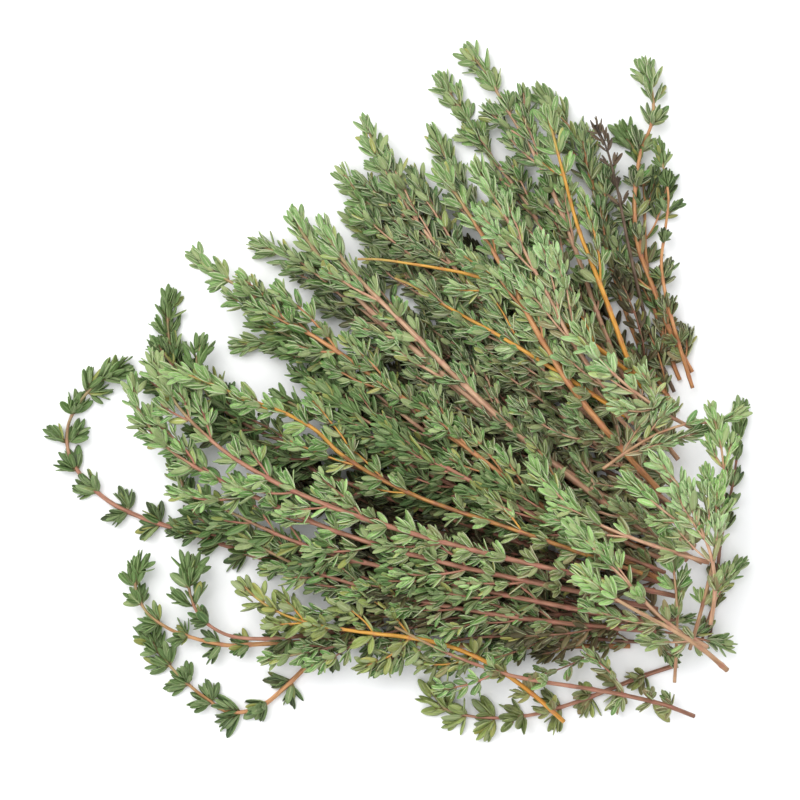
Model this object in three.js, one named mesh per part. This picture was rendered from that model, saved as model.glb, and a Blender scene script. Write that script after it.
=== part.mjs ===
// A bunch of fresh thyme: an untied heap of cut sprigs that lie across each other on a flat surface.
// Millimetres, +Z up. The leafy tips fan out towards -X and +Y, and the cut ends gather at +X.
// Each sprig grew as one piece, so it is one closed solid: a bare stem that widens into a flat leafy part.
// The sprigs are laid down one by one, each on top of what already lies under it.
import * as THREE from "three";

// ---- driving dimensions ----
const STEM_RADIUS = 0.65; // of a cut end
const LEAF_REACH = 3; // half the width of the leafy part
const LEAF_DEPTH = 1.3; // half its thickness, pressed flat by the heap
const TIP_REACH = 1.5; // half the width at the growing tip
const TIP_TAPER = 10; // length over which a tip narrows
const BARE_TAPER = 14; // length over which the leaves give way to bare stem
const GAP = 0.3; // clear space kept between sprigs that lie on each other
const DROOP = 0.0045; // how fast an unsupported stretch falls away, in 1/mm
const LIFT = 0.006; // how sharply a stem may bend upwards, in 1/mm
const RING_STEP = 8; // distance between the sections of a sprig
const SIDES = 6; // of each section, with a flat side down
const ARC_DIVISIONS = 400; // for measuring along a route
const UNDER_SPRIGS = 6; // sprigs that lie hidden under the others
const FAN_LAYERS = 4; // neighbours in the fan lie in different layers
const SETTLING_PASSES = 40; // over the heights of one sprig, until it bends no more sharply than LIFT

// Stem and leaf colours, by the kind of growth.
const GREEN = 0x5f8c5a;
const GREY_GREEN = 0x7c9c74;
const YELLOW_GREEN = 0x93ad5c;
const DARK_GREEN = 0x3f6338;
const GOLDEN = 0xcf9436;
const RUSSET = 0x9c6248;
const DRY_BROWN = 0x5d4436;

// ---- the routes ----
// Each route runs from the growing tip to the cut end, in plan. leafy is the share of it that bears leaves.
const route = (name, color, leafy, points) => ({ name, color, leafy, points });

const FIRST_LAID = [
  route("sprig_left_hook", GREEN, 0.75, [
    [-67, 6], [-72, 5], [-77.5, 1], [-82, -4.5], [-84, -11], [-82.5, -18], [-78, -23.5],
    [-71, -29], [-61, -33], [-48, -37], [-36, -41.5], [-20, -44], [12, -48], [58, -56],
  ]),
  route("sprig_lower_loop", DARK_GREEN, 0.5, [
    [-65, -58.5], [-62, -64], [-57, -70], [-51, -75.5], [-43.5, -80.5], [-37, -80], [-31.5, -76.5],
    [-25, -70.5], [-18, -64], [-4, -55], [16, -50], [44, -48],
  ]),
  route("sprig_lower_hook", GREEN, 0.6, [
    [-64, -40], [-66.5, -45.5], [-65.5, -52], [-61.5, -57.5], [-55, -60.5], [-45, -63.5],
    [-30, -63], [-12, -62.5], [20, -64], [58, -64],
  ]),
  route("sprig_lower_upright", DARK_GREEN, 0.55, [
    [-52, -40.5], [-53, -47], [-51.5, -53.5], [-48, -58.5], [-40, -61.5], [-24, -61], [-4, -58],
  ]),
  route("sprig_left_upright", GREEN, 0.55, [
    [-56.5, -14], [-55, -22], [-52, -29.5], [-46, -35], [-36, -38.5], [-18, -41.5], [12, -46],
  ]),
  route("sprig_bottom_curved", YELLOW_GREEN, 0.8, [
    [7, -73], [8.5, -77], [13, -80.5], [28, -82], [40, -79.5], [50, -76], [60, -72], [69, -69],
  ]),
  route("sprig_bottom_left", GREEN, 0.5, [[-36, -67.5], [-28, -66], [-18, -64], [8, -58], [50, -55]]),
  route("sprig_bottom_middle", GREEN, 0.5, [[-7, -69], [1, -66], [14, -62], [32, -61], [62, -63]]),
  route("sprig_right_outer", DARK_GREEN, 0.8, [
    [86, -1.5], [85.5, -10], [84, -22], [81, -36], [79.5, -50], [78, -62],
  ]),
  route("sprig_right_tuft", GREEN, 0.5, [[87.5, -41.5], [83, -46], [79, -53], [75.5, -64]]),
  route("sprig_right_low_tuft", GREEN, 0.5, [[84.5, -64], [78, -62.5], [70, -61], [52, -57]]),
];

// The fan, in order round it from the left to the top.
const FAN = [
  route("sprig_left_inner", GREEN, 0.8, [
    [-41.5, -31], [-35.5, -38], [-26, -43], [-4, -50], [28, -56], [64, -60],
  ]),
  route("sprig_left_low", GREEN, 0.85, [
    [-56, -25], [-47, -27.5], [-38, -32], [-24, -38], [2, -45], [34, -52], [66, -58],
  ]),
  route("sprig_left_outer", GREEN, 0.85, [
    [-66.5, 5], [-66, -2], [-61.5, -9.5], [-55, -16], [-45.5, -21.5], [-36, -26],
    [-26, -30.5], [-10, -36.5], [14, -43], [42, -49], [64, -54],
  ]),
  route("sprig_left_second", GREEN, 0.85, [
    [-62.5, 10.5], [-59.5, 4], [-55, -3.5], [-45.5, -13], [-36, -19.5], [-24, -25.5],
    [-5, -32.5], [22, -40], [48, -46], [70, -51],
  ]),
  route("sprig_left_peak", GREEN, 0.85, [
    [-57, 26], [-58.5, 18.5], [-57.5, 10], [-53, 0], [-43, -9], [-30, -16],
    [-10, -24], [16, -33], [46, -43], [71, -49],
  ]),
  route("sprig_left_dark", DARK_GREEN, 0.85, [
    [-49, 14.5], [-51, 8], [-48.5, 0], [-40.5, -7], [-25, -14], [0, -22.5], [30, -34], [62, -46],
  ]),
  route("sprig_left_edge", DARK_GREEN, 0.85, [
    [-33, 0.5], [-26, -3.5], [-16, -9], [2, -18], [30, -31], [62, -44],
  ]),
  route("sprig_upper_left_dark", DARK_GREEN, 0.85, [
    [-24, 3], [-17, -1.5], [-8, -7.5], [12, -19], [40, -34], [66, -45],
  ]),
  route("sprig_upper_left_low", GREEN, 0.85, [
    [-43, 11], [-35, 12.5], [-25, 10.5], [-12, 3], [6, -9], [32, -24], [62, -40],
  ]),
  route("sprig_upper_left_side", GREEN, 0.85, [
    [-38.5, 18], [-31, 15.5], [-20, 9.5], [-6, -0.5], [12, -14], [38, -29], [66, -42],
  ]),
  route("sprig_upper_left_outer", GREEN, 0.8, [
    [-52.5, 35.5], [-46.5, 30], [-39, 25.5], [-29, 18.5], [-17, 11], [0, -1], [22, -18], [46, -36], [67, -48],
  ]),
  route("sprig_upper_left_rosette", GREEN, 0.85, [
    [-38, 38], [-31, 35], [-24, 31.5], [-15, 25], [-5, 17], [12, 2], [36, -17], [60, -34], [76, -43],
  ]),
  route("sprig_upper_left_inner", GREEN, 0.85, [
    [-13.5, 46.5], [-8, 40], [1, 30], [15, 16], [36, -2], [60, -22], [76, -34],
  ]),
  route("sprig_upper_left_high", GREEN, 0.85, [
    [-15.5, 57], [-10.5, 50], [-4, 43.5], [6, 34], [24, 17], [46, -5], [70, -25],
  ]),
  route("sprig_upper_left_peak", GREY_GREEN, 0.85, [
    [-9.5, 70], [-7, 63], [-3.5, 55], [2, 46], [12, 33], [30, 12], [52, -10], [73, -26],
  ]),
  route("sprig_top_left", GREEN, 0.85, [
    [7.5, 67], [11, 60], [16.5, 50.5], [24, 38], [35, 20], [49, 0], [67, -20],
  ]),
  route("sprig_top_second", GREEN, 0.8, [
    [9, 79.5], [14.5, 72.5], [20, 63.5], [25, 56.5], [31, 49], [38, 36], [48, 16], [60, -4], [70, -17],
  ]),
  route("sprig_top_outer", GREEN, 0.8, [
    [16, 87], [21.5, 80.5], [26, 72.5], [30.5, 65], [36.5, 54], [43, 38], [50, 18], [58, 0], [68, -14],
  ]),
  route("sprig_top_pale", GREY_GREEN, 0.7, [
    [34, 77], [39, 71], [43.5, 66], [47.5, 55.5], [50, 45], [54, 29], [61, 10], [70, -5],
  ]),
  route("twig_dry", DRY_BROWN, 0.5, [
    [47.5, 69.5], [50, 65], [52.5, 58.5], [54.5, 50], [58, 33], [63, 14], [69, 0],
  ]),
  route("sprig_top_tuft", GREEN, 0.7, [
    [54, 67.5], [57, 64], [60.5, 57.5], [61.5, 48], [62, 33], [65.5, 16], [70.5, 3],
  ]),
  route("sprig_top_right", GREEN, 0.55, [
    [60, 84.5], [63, 77], [63.5, 69], [60.5, 60.5], [59, 50], [59.5, 38], [63.5, 26.5], [68.5, 14], [73.5, 5],
  ]),
  route("sprig_top_thin", GREEN, 0.5, [
    [64, 64.5], [65.5, 58], [67, 51], [67, 43.5], [65.5, 36], [66.5, 25], [70, 12], [73.5, 1],
  ]),
];

const LAST_LAID = [
  route("sprig_left_golden", YELLOW_GREEN, 0.35, [
    [-59, 5], [-52, 4], [-46, 1.5], [-37, -2], [-23, -8], [-14, -16], [2, -25], [28, -34], [60, -45],
  ]),
  route("sprig_russet_first", RUSSET, 0.3, [
    [-27, 46.5], [-24.5, 40], [-18.5, 32], [-7.5, 20.5], [2, 12], [22, -5], [46, -23], [74, -39],
  ]),
  route("sprig_russet_second", RUSSET, 0.35, [
    [-20, 44.5], [-17, 37], [-11, 29], [2, 16], [20, -2], [46, -24], [72, -42],
  ]),
  route("stem_golden_upper", GOLDEN, 0, [
    [-13.5, 33], [-6, 33], [2, 32], [11, 30.5], [21, 28], [38, 19], [58, 4],
  ]),
  route("stem_golden_lower", GOLDEN, 0, [[-4, 29.5], [3, 26.5], [12, 21], [22, 15.5], [36, 7], [56, -6]]),
  route("sprig_middle_diagonal", GREEN, 0.62, [
    [8.5, 57], [16.5, 45], [25.5, 30.5], [35, 13], [41.5, 2.5], [46, -3.5], [57.5, -17], [65, -25],
  ]),
  route("sprig_middle_upper", GREY_GREEN, 0.8, [
    [18, 57.5], [22, 50], [27, 41.5], [34, 28.5], [44, 10], [58, -8],
  ]),
  route("sprig_top_golden", GOLDEN, 0.35, [
    [36, 72], [38, 65], [41, 53.5], [45, 39], [49, 28.5], [53, 17.5], [56.5, 8], [60, 1],
  ]),
  route("sprig_middle_right", GREY_GREEN, 0.8, [[42, 17.5], [48, 9], [56.5, 1], [65, -5], [74, -10]]),
  route("sprig_right_pale", GREY_GREEN, 0.6, [[86, -3], [80, -7], [70, -8], [61, -11.5], [50, -19]]),
  route("sprig_right_inner", GREEN, 0.7, [
    [75, -2], [78, -10], [79.5, -22], [78, -37], [75, -52], [72, -64],
  ]),
  route("sprig_right_cut", GREEN, 0.6, [[65, -33], [67.5, -43], [68.5, -56], [68, -72]]),
  route("sprig_middle_first", GREEN, 0.85, [[31, -17], [38, -24.5], [46, -31], [60, -37], [76, -42]]),
  route("sprig_middle_second", GREEN, 0.85, [[54, -20], [60, -25], [67, -31], [78, -38]]),
  route("sprig_middle_third", GREEN, 0.85, [[61, -14], [67, -21.5], [73, -32], [77, -45], [76, -57]]),
  route("sprig_middle_fourth", GREEN, 0.85, [[40, -31], [47, -38], [55, -46], [66, -57], [76, -63]]),
  route("sprig_stout_tan", GREEN, 0.5, [[42, -43], [48, -47.5], [55, -52], [72, -61.5], [80.5, -68.5]]),
  route("sprig_bottom_pale", YELLOW_GREEN, 0.45, [
    [-41, -46.5], [-35, -52], [-25, -57], [-8, -60], [7, -62], [20, -66.5], [32, -74.5], [41, -82.5],
  ]),
  route("stem_bottom_bare", RUSSET, 0, [
    [-4, -57], [12, -65], [27.5, -70.5], [50, -74.5], [65, -78], [74, -81.5],
  ]),
];

// Evenly spread numbers from 0 to 1, the same on every run: the Lehmer generator.
function evenNumbers(seed) {
  const FACTOR = 16807;
  const MODULUS = 2147483647;
  let state = seed;
  return () => {
    state = (state * FACTOR) % MODULUS;
    return state / MODULUS;
  };
}

// The hidden sprigs fan out from the cut ends, their tips short of the outline of the heap.
function hiddenSprigs() {
  const CENTRE = new THREE.Vector2(45, -35); // of the arc that the outer tips stand on
  const REACH = [68, 96]; // how far the hidden tips are from it
  const FIRST_ANGLE = 94;
  const LAST_ANGLE = 192;
  const CUT_LINE = [new THREE.Vector2(66, -6), new THREE.Vector2(72, -62)];
  const BOW = 6; // sideways, at the middle
  const SEED = 29;
  const random = evenNumbers(SEED);
  const sprigs = [];
  for (let i = 0; i < UNDER_SPRIGS; i++) {
    const share = (i + 0.5) / UNDER_SPRIGS;
    const angle = THREE.MathUtils.degToRad(THREE.MathUtils.lerp(FIRST_ANGLE, LAST_ANGLE, share));
    const reach = THREE.MathUtils.lerp(REACH[0], REACH[1], random());
    const tip = new THREE.Vector2(Math.cos(angle), Math.sin(angle)).multiplyScalar(reach).add(CENTRE);
    const cut = CUT_LINE[0].clone().lerp(CUT_LINE[1], share);
    const bow = BOW * (random() * 2 - 1);
    const across = cut.clone().sub(tip).normalize().rotateAround(new THREE.Vector2(), Math.PI / 2);
    const middle = tip.clone().lerp(cut, 0.5).addScaledVector(across, bow);
    const points = [tip, middle, cut].map((p) => [p.x, p.y]);
    sprigs.push(route("sprig_under_" + (i + 1), DARK_GREEN, 0.85, points));
  }
  return sprigs;
}

// ---- the heap's height, in cells of 1 mm ----
const HALF_FIELD = 110;
const FIELD = 2 * HALF_FIELD;
const CELL_REACH = Math.SQRT1_2; // from a cell's middle to its corner
const heights = new Float64Array(FIELD * FIELD);

function eachCell(x, y, radius, visit) {
  const reach = radius + CELL_REACH;
  const fromX = Math.floor(x - reach);
  const toX = Math.ceil(x + reach);
  const fromY = Math.floor(y - reach);
  const toY = Math.ceil(y + reach);
  for (let i = fromX; i <= toX; i++) {
    for (let j = fromY; j <= toY; j++) {
      if (Math.hypot(i + 0.5 - x, j + 0.5 - y) <= reach) {
        visit((i + HALF_FIELD) * FIELD + j + HALF_FIELD);
      }
    }
  }
}

function highestUnder(x, y, radius) {
  let highest = 0;
  eachCell(x, y, radius, (cell) => {
    highest = Math.max(highest, heights[cell]);
  });
  return highest;
}

function raiseTo(x, y, radius, top) {
  eachCell(x, y, radius, (cell) => {
    heights[cell] = Math.max(heights[cell], top);
  });
}

// ---- one sprig ----
// Half the width and half the thickness of a sprig at a distance from its tip.
function sectionAt(distance, length, leafy) {
  if (leafy === 0) {
    return { width: STEM_RADIUS, depth: STEM_RADIUS };
  }
  const leafEnd = length * leafy;
  const opening = THREE.MathUtils.smoothstep(distance, 0, TIP_TAPER);
  const closing = THREE.MathUtils.smoothstep(distance, leafEnd - BARE_TAPER, leafEnd);
  const reach = THREE.MathUtils.lerp(TIP_REACH, LEAF_REACH, opening);
  return {
    width: THREE.MathUtils.lerp(reach, STEM_RADIUS, closing),
    depth: THREE.MathUtils.lerp(LEAF_DEPTH, STEM_RADIUS, closing),
  };
}

// The sections of a sprig along its route, still at no height.
function sectionsOf({ points, leafy }) {
  const stops = points.map(([x, y]) => new THREE.Vector3(x, y, 0));
  const plan = new THREE.CatmullRomCurve3(stops, false, "centripetal");
  plan.arcLengthDivisions = ARC_DIVISIONS;
  const length = plan.getLength();
  const count = Math.round(length / RING_STEP) + 1;
  return Array.from({ length: count }, (_, i) => {
    const share = i / (count - 1);
    const along = plan.getTangentAt(share);
    return {
      place: plan.getPointAt(share),
      across: new THREE.Vector3(-along.y, along.x, 0),
      distance: share * length,
      ...sectionAt(share * length, length, leafy),
    };
  });
}

// The points about 1 mm apart along the straight stretches between the sections.
function samplesAlong(sections) {
  const samples = [];
  for (let i = 0; i + 1 < sections.length; i++) {
    const [from, to] = [sections[i], sections[i + 1]];
    const steps = Math.ceil(to.distance - from.distance);
    for (let k = 0; k <= steps; k++) {
      const share = k / steps;
      samples.push({
        stretch: i,
        share,
        place: from.place.clone().lerp(to.place, share),
        distance: THREE.MathUtils.lerp(from.distance, to.distance, share),
        width: THREE.MathUtils.lerp(from.width, to.width, share),
        depth: THREE.MathUtils.lerp(from.depth, to.depth, share),
      });
    }
  }
  return samples;
}

// Lays a sprig on the heap: it rests on the highest things under it and droops between and beyond them.
function layDown(sections) {
  const samples = samplesAlong(sections);
  for (const s of samples) {
    const ground = highestUnder(s.place.x, s.place.y, s.width);
    s.need = s.depth + (ground > 0 ? ground + GAP : 0);
  }
  for (const s of samples) {
    s.held = Math.max(...samples.map((o) => o.need - DROOP * (o.distance - s.distance) ** 2));
  }
  const level = sections.map((_, i) => {
    const last = i === sections.length - 1;
    const sample = last ? samples.at(-1) : samples.find((s) => s.stretch === i);
    return sample.held;
  });
  const short = new Float64Array(sections.length);
  for (const s of samples) {
    const here = THREE.MathUtils.lerp(level[s.stretch], level[s.stretch + 1], s.share);
    short[s.stretch] = Math.max(short[s.stretch], s.held - here);
  }
  const raised = level.map((z, i) => z + Math.max(short[i], i > 0 ? short[i - 1] : 0));
  for (let pass = 0; pass < SETTLING_PASSES; pass++) {
    for (let i = 1; i + 1 < raised.length; i++) {
      const step = (sections[i + 1].distance - sections[i - 1].distance) / 2;
      raised[i] = Math.max(raised[i], (raised[i - 1] + raised[i + 1]) / 2 - LIFT * step ** 2);
    }
  }
  sections.forEach((section, i) => {
    section.place.z = raised[i];
  });
  for (const s of samples) {
    const middle = THREE.MathUtils.lerp(raised[s.stretch], raised[s.stretch + 1], s.share);
    raiseTo(s.place.x, s.place.y, s.width, middle + s.depth);
  }
}

// A closed six-sided bar whose rings are moved to the sections, its first ring at the tip.
function bentBar(sections) {
  const flatSideDown = Math.PI / SIDES;
  const bar = new THREE.CylinderGeometry(1, 1, 1, SIDES, sections.length - 1, false, flatSideDown);
  const flatHeight = Math.cos(flatSideDown);
  const position = bar.getAttribute("position");
  const corner = new THREE.Vector3();
  for (let i = 0; i < position.count; i++) {
    corner.fromBufferAttribute(position, i);
    const section = sections[Math.round((0.5 - corner.y) * (sections.length - 1))];
    const sideways = corner.x * section.width;
    const up = (corner.z / flatHeight) * section.depth;
    corner.copy(section.place).addScaledVector(section.across, sideways);
    position.setXYZ(i, corner.x, corner.y, corner.z + up);
  }
  bar.computeVertexNormals();
  return bar;
}

function pieceMesh(name, color, geometry) {
  const material = new THREE.MeshStandardMaterial({ color, roughness: 0.7, metalness: 0 });
  const mesh = new THREE.Mesh(geometry, material);
  mesh.name = name;
  return mesh;
}

function sprigMesh(sprig) {
  const sections = sectionsOf(sprig);
  layDown(sections);
  return pieceMesh(sprig.name, sprig.color, bentBar(sections));
}

// The leaf that has come off lies flat beside the cut stems: a thin pointed blade.
function looseLeaf() {
  const LENGTH = 6.4;
  const HALF_WIDTH = 1.2;
  const HALF_THICKNESS = 0.3;
  const PLACE = new THREE.Vector3(66, -81, HALF_THICKNESS);
  const DIRECTION = THREE.MathUtils.degToRad(-48);
  const along = new THREE.Vector3(Math.cos(DIRECTION), Math.sin(DIRECTION), 0);
  const across = new THREE.Vector3(-along.y, along.x, 0);
  const count = 7;
  const sections = Array.from({ length: count }, (_, i) => {
    const share = i / (count - 1);
    const fullness = 0.15 + 0.85 * Math.sin(Math.PI * share);
    return {
      place: PLACE.clone().addScaledVector(along, (share - 0.5) * LENGTH),
      across,
      width: HALF_WIDTH * fullness,
      depth: HALF_THICKNESS,
    };
  });
  return pieceMesh("leaf_loose", YELLOW_GREEN, bentBar(sections));
}

// ---- the bunch ----
const bunch = new THREE.Group();
const fanLayers = Array.from({ length: FAN_LAYERS }, (_, layer) => {
  return FAN.filter((_, place) => place % FAN_LAYERS === layer);
});
for (const sprig of [FIRST_LAID, hiddenSprigs(), ...fanLayers, LAST_LAID].flat()) {
  bunch.add(sprigMesh(sprig));
}
bunch.add(looseLeaf());

// The origin is the middle of the bunch's footprint, on the surface that it lies on.
const extent = new THREE.Box3().setFromObject(bunch);
const middle = extent.getCenter(new THREE.Vector3());
bunch.position.set(-middle.x, -middle.y, -extent.min.z);

const part = new THREE.Group();
part.add(bunch);

export default part;
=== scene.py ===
"""Thyme bunch: grows stems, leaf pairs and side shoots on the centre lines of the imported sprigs."""
import math
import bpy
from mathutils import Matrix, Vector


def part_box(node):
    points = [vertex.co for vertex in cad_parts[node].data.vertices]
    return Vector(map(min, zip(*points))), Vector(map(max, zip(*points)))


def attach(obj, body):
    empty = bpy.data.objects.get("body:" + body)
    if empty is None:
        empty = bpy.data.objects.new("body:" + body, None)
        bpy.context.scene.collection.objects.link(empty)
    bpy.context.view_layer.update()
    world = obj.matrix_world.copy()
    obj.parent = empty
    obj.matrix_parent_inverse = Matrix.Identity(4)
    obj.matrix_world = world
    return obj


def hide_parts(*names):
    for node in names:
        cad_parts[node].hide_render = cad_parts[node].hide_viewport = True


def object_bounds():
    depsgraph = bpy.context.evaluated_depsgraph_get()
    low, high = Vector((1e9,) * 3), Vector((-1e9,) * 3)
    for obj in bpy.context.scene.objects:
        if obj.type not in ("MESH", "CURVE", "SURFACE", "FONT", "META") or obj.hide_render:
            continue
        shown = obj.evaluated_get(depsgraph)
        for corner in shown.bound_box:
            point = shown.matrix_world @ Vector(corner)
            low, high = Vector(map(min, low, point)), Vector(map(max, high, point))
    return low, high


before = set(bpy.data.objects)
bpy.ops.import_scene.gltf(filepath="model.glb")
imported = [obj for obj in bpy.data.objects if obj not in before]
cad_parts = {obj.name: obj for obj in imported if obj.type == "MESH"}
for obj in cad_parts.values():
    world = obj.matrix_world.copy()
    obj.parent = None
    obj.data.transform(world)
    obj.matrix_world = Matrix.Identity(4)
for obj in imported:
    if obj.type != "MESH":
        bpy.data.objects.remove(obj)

import zlib
from dataclasses import dataclass, replace
from typing import NamedTuple

import bpy
import numpy as np
from bpy.props import FloatProperty, FloatVectorProperty, IntProperty, PointerProperty
from mathutils import Vector

bl_info = {
    "name": "Thyme Bunch",
    "version": (1, 0, 0),
    "blender": (4, 5, 0),
    "location": "View3D > Sidebar > Thyme",
    "description": "Grows a loose heap of fresh thyme sprigs round a packed frame",
    "category": "Object",
}

CAD_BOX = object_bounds()
HEAP_HEIGHT = CAD_BOX[1][2]
MM = 0.001  # lengths are in metres and angles in degrees
UP = np.array([0.0, 0.0, 1.0])

# Corners of the frame's bodies that lie closer than this are one corner.
WELD = 0.001 * MM
# Where the half widths of a body's ends differ by more than this, its leafy tip is the wider end.
END_DIFFERENCE = 0.1 * MM
# A body that is no wider than this, to either side, is a nearly bare stem.
BARE_HALF_WIDTH = 1.0 * MM
# The share of its greatest half width from which on a body is leafy.
LEAFY_SHARE = 0.55

# Blade template: where the rings sit along a leaf, and how wide the leaf is there.
BLADE_STATIONS = (0.0, 0.13, 0.32, 0.54, 0.76, 0.92)
BLADE_WIDTHS = (0.22, 0.62, 0.97, 1.0, 0.82, 0.48)
# Places across a blade, from one edge over the upper face to the other and back underneath, and
# how much each belongs to the upper face.
BLADE_ACROSS = (-1.0, -0.6, 0.0, 0.6, 1.0, 0.6, 0.0, -0.6)
BLADE_UPPER = (0.5, 1.0, 1.0, 1.0, 0.5, 0.0, 0.0, 0.0)
# How far the edges roll down, and how much thicker the rib is than the blade.
EDGE_ROLL = 0.34
RIB_DEPTH = 1.5
# The least bend of a blade, in radians. A flat one counts as having this much.
LEAST_BEND = 0.02

STEM_SIDES = 8
STEM_STEP = 1.0 * MM
SHOOT_STEP = 0.8 * MM
# Rings of a stem that share one cell of its bake layout.
RINGS_PER_CELL = 9
# Heights that leaves, the axes of shoots and the bark of stems keep above the surface.
FLOOR_ROOM = 0.45 * MM
SHOOT_ROOM = 1.1 * MM
STEM_ROOM = 0.02 * MM
# How much a stem thickens at a leaf pair and over what length, and how square it is.
KNOB_RISE = 0.2
KNOB_REACH = 0.55 * MM
STEM_SQUARENESS = 0.07
# Empty border of a bake cell, the strip between a blade's faces there, and the cells' widths by height.
BAKE_PAD = 0.07
BAKE_INNER = 1 - 2 * BAKE_PAD
FACE_GUTTER = 0.08
LEAF_CELL = 0.75
STEM_CELL = 0.5

# How far the topmost leaves reach past the end of their stem.
TIP_REACH = 2.9 * MM
# The first and the last leaf pair's distance from the tip and the cut end, and the spacing at the tip.
FIRST_PAIR = 0.25 * MM
LAST_PAIR = 1.5 * MM
TIP_SPACING = 1.0 * MM
# Number of pairs below the tip until a pair stands fully open, and how the spacing grows with that.
OPENING_PAIRS = 5
SPACING_CURVE = 1.4
# Angle and length of a pair's leaves, against full ones, and their bend: in the bud and fully open.
PAIR_SPREAD = (0.2, 1.0)
PAIR_LENGTH = (0.58, 1.0)
PAIR_BEND = (-0.25, 0.1)
# From this much opening on, a pair has tufts or shoots in its axils, and how full those are.
AXIL_OPENING = 0.4
AXIL_FILLING = (0.4, 1.0)
# Angle of what grows in an axil, against the sprig's spread, more in a bare stretch, and its limit.
AXIL_LEAN = (0.4, 1.15)
BARE_LEAN = 1.6
MOST_LEAN = 60.0
# The last stretch of a stem before its cut end, and the share of its leaf pairs that are left.
CUT_END = 3.5 * MM
CUT_END_GROWTH = 0.25
# Size and spacing of a side shoot's leaf pairs, and radius of its stem, against the main stem's.
SHOOT_LEAVES = 0.85
SHOOT_SPACING = 0.62
SHOOT_RADIUS = 0.7
# How much older the cut end is than the tip, and how much smaller the oldest leaves are.
MAIN_AGEING = 0.75
SHOOT_AGEING = 0.35
OLD_SHRINKING = 0.22
# Shoots lie flatter than they grew, because the heap presses on them.
PRESSED = np.array([1.0, 1.0, 0.5])
# A shoot's length against its habit's, its least length in steps of 1 mm, and how fast its heading
# turns to follow its stem and strays at each step.
SHOOT_RANGE = (0.6, 1.4)
LEAST_SHOOT = 5
SHOOT_TURN = 0.07
SHOOT_STRAY = 0.03

# A tuft's own stem, leaf angle and leaf size, against the sprig's leaves, and its leaves' slimness and bend.
TUFT_REACH = (0.25, 0.55)
TUFT_SPREAD = (0.7, 1.2)
TUFT_SIZE = (0.64, 0.96)
TUFT_SLIMNESS = 0.95
TUFT_BEND = -0.1
# How much steeper and smaller the innermost leaves of a tuft are, and how flat a tuft is.
TUFT_CLOSING = 0.55
TUFT_DWINDLING = 0.2
TUFT_FLATNESS = 0.75

# How leaves differ from each other.
FACE_JITTER = 0.3
BEND_JITTER = 0.16
TWIST_JITTER = 0.35
TURN_JITTER = 0.4
SPREAD_JITTER = 6.0
WIDTH_RANGE = (0.86, 1.14)
LENGTH_RANGE = (0.78, 1.16)
SPACING_RANGE = (0.82, 1.18)
FOLD_RANGE = (0.08, 0.4)
# Share of the leaves that lie with their undersides up.
TURNED_OVER = 0.13
# Tones run from 0, dark, to 1, light. They vary at random between sprigs and between the leaves of one, and
# each leaf's tone also takes painted light and shade by its height in the heap.
MIDDLE_TONE = 0.5
SPRIG_TONES = 0.12
LEAF_TONES = 0.2
# Painted light and shade: how much lighter a leaf's tone is painted at the top of the heap than at its
# bottom, and the level in the heap at which none is painted.
PAINTED_DEPTH_SHADE = 0.95
EVEN_LEVEL = 0.45


def between(low, high, share):
    """A value that runs from low to high as the share runs from 0 to 1."""
    return low + (high - low) * share


def paint(red, green, blue):
    """A colour given as 8-bit screen values, as linear light."""
    shares = [value / 255 for value in (red, green, blue)]
    return tuple(c / 12.92 if c <= 0.04045 else ((c + 0.055) / 1.055) ** 2.4 for c in shares)


@dataclass(frozen=True)
class Habit:
    """How one sprig grows.

    The shares bare_shoots and bare_growth are what is left of its shoots and leaf pairs where its
    frame body narrows to the stem. bare_tip is the share of its length, from the tip, without leaves.
    """
    stem: str = "russet"
    leaf: str = "green"
    spacing: float = 6.6 * MM
    length: float = 5.8 * MM
    slimness: float = 0.37
    spread: float = 40.0
    tuft: int = 6
    shoots: float = 0.16
    shoot_length: float = 13.0 * MM
    shoot_start: float = 15.0 * MM
    bare_shoots: float = 0.45
    bare_growth: float = 0.12
    bare_tip: float = 0.0
    radius: float = 0.52 * MM


OPEN = Habit(spacing=8.4 * MM, length=6.3 * MM, spread=38.0, tuft=8, bare_growth=0.6, radius=0.56 * MM)
HOOKED = replace(OPEN, leaf="deep", spacing=7.8 * MM, length=6.6 * MM, spread=45.0, tuft=9, shoots=0.0)
LEFT = Habit(spacing=8.2 * MM, length=6.2 * MM, spread=40.0, tuft=7, shoots=0.4, shoot_length=14.0 * MM,
             bare_growth=0.5, radius=0.57 * MM)
DENSE = Habit(spacing=6.8 * MM, length=6.3 * MM, spread=30.0, tuft=5, shoots=0.5, shoot_length=18.0 * MM,
              bare_growth=0.7, radius=0.5 * MM)
BUSHY = replace(DENSE, spread=36.0, shoots=0.7, shoot_length=22.0 * MM, bare_growth=0.8)
HIDDEN = replace(BUSHY, stem="brown", leaf="old", tuft=4, shoots=0.95, shoot_length=30.0 * MM,
                 bare_shoots=0.8)
TOP = replace(DENSE, spacing=7.2 * MM, shoots=0.35, shoot_length=16.0 * MM)
BROAD = Habit(stem="golden", leaf="spring", slimness=0.44, spread=46.0, spacing=8.5 * MM, shoots=0.4,
              length=6.4 * MM, tuft=4, bare_growth=0.6)
WISPY = replace(BROAD, stem="brown", leaf="green", spread=42.0, length=5.4 * MM, spacing=6.8 * MM, tuft=5,
                shoots=0.9, shoot_length=16.0 * MM, bare_shoots=0.8, bare_growth=0.9, radius=0.42 * MM)
WIRY = Habit(stem="brown", spacing=6.0 * MM, shoots=0.4, shoot_length=14.0 * MM, radius=0.44 * MM, tuft=6,
             spread=30.0, length=5.6 * MM, bare_shoots=0.9, bare_growth=0.7)

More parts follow.
